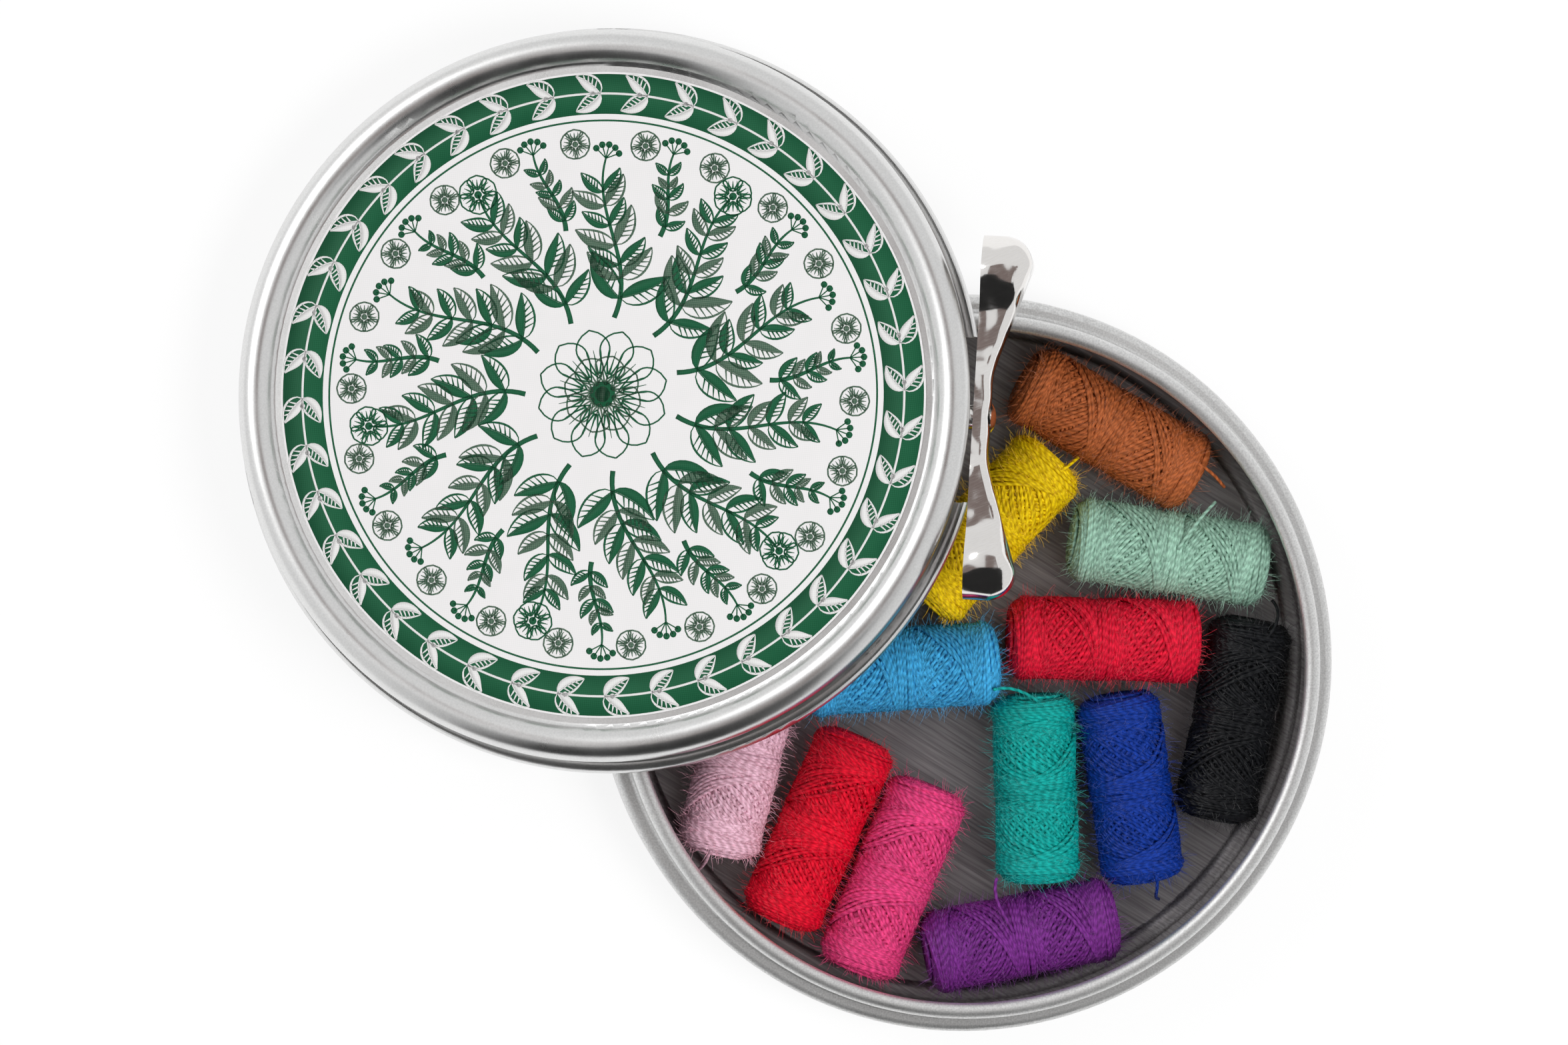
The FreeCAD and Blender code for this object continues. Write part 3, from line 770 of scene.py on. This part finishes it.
def mirrored_card(name, centre, right, up, colour):
    """A plain card that only reflections see."""
    centre, right, up = Vector(centre), Vector(right), Vector(up)
    corners = [centre - right - up, centre + right - up, centre + right + up, centre - right + up]
    mesh = bpy.data.meshes.new(name)
    mesh.from_pydata([c[:] for c in corners], [], [(0, 1, 2, 3)])
    card = bpy.data.objects.new(name, mesh)
    bpy.context.scene.collection.objects.link(card)
    finish = Finish(name)
    glow = finish.add("Emission", {"Color": colour, "Strength": 1.0})
    finish.add("OutputMaterial", {"Surface": glow.outputs[0]})
    mesh.materials.append(finish.material)
    card.visible_camera = card.visible_diffuse = card.visible_shadow = False


def floor():
    """White paper floor. Seen directly or in metal it glows to white, and shadows still show."""
    mesh = bpy.data.meshes.new("floor")
    signs = [(-1, -1), (1, -1), (1, 1), (-1, 1)]
    corners = [(x * FLOOR_REACH, y * FLOOR_REACH, -FLOOR_DROP) for x, y in signs]
    mesh.from_pydata(corners, [], [(0, 1, 2, 3)])
    ground = bpy.data.objects.new("floor", mesh)
    bpy.context.scene.collection.objects.link(ground)
    finish = Finish("floor_paper")
    path = finish.add("LightPath").outputs
    seen = finish.math("ADD", path["Is Camera Ray"], path["Is Glossy Ray"])
    seen = finish.math("MINIMUM", finish.math("ADD", seen, path["Is Transmission Ray"]), 1.0)
    fibres = finish.noise(finish.place(), 2 * MM, 2)
    colour = finish.blend(fibres, (0.90, 0.90, 0.90, 1), (0.93, 0.93, 0.93, 1))
    matt = finish.add("BsdfDiffuse", {"Color": colour})
    glow = finish.add("Emission", {"Color": (1, 1, 1, 1), "Strength": 1.0})
    share = finish.math("MULTIPLY", seen, FLOOR_GLOW)
    mixed = finish.add("MixShader", {0: share, 1: matt.outputs[0], 2: glow.outputs[0]})
    finish.add("OutputMaterial", {"Surface": mixed.outputs[0]})
    mesh.materials.append(finish.material)


def lamp(name, place, power, mirrored):
    """A round lamp that is turned to the object."""
    data = bpy.data.lights.new(name, "AREA")
    data.shape, data.size, data.energy = "DISK", LAMP_SIZE, power
    light = bpy.data.objects.new(name, data)
    bpy.context.scene.collection.objects.link(light)
    light.visible_glossy = mirrored
    light.location = place
    light.rotation_euler = (CAMERA_TARGET - Vector(place)).to_track_quat("-Z", "Y").to_euler()


def studio():
    """Soft white light all round, a lamp on each side, and dark cards that the metal mirrors."""
    floor()
    world = bpy.data.worlds.new("studio")
    world.use_nodes = True
    tree = world.node_tree
    path = tree.nodes.new("ShaderNodeLightPath")
    level = tree.nodes.new("ShaderNodeMapRange")
    level.inputs["To Min"].default_value = SKY_LEVEL
    level.inputs["To Max"].default_value = SKY_IN_METAL
    tree.links.new(path.outputs["Is Glossy Ray"], level.inputs["Value"])
    background = tree.nodes["Background"].inputs
    background["Color"].default_value = (1, 1, 1, 1)
    tree.links.new(level.outputs[0], background["Strength"])
    bpy.context.scene.world = world
    for name, (place, power, mirrored) in LAMPS.items():
        lamp(name, place, power, mirrored)
    for name, card in CARDS.items():
        mirrored_card(name, *card)


def camera():
    """The photograph's camera: a long lens over the tin."""
    lean = math.sin(CAMERA_TILT)
    sideways = CAMERA_TILT_FROM * -lean
    back = Vector((sideways.x, sideways.y, math.cos(CAMERA_TILT)))
    up = (Vector((0, 1, 0)) - back * back.y).normalized()
    data = bpy.data.cameras.new("camera")
    data.sensor_width = SENSOR_WIDTH_MM
    data.lens = SENSOR_WIDTH_MM * CAMERA_DISTANCE_MM / (IMAGE_WIDTH_PX * MM_PER_PX)
    data.clip_start, data.clip_end = 0.05, 20
    eye = bpy.data.objects.new("camera", data)
    bpy.context.scene.collection.objects.link(eye)
    turn = Matrix((up.cross(back), up, back)).transposed().to_4x4()
    eye.matrix_world = Matrix.Translation(CAMERA_TARGET + back * CAMERA_DISTANCE_MM * MM) @ turn
    bpy.context.scene.camera = eye


bpy.context.scene.view_settings.view_transform = "Standard"
camera()
studio()
dress_nodes()
printed_label()
for order, node_name in enumerate(sorted(n for n in frame["nodes"] if n.startswith("bobbin_"))):
    wound_bobbin(node_name, order)
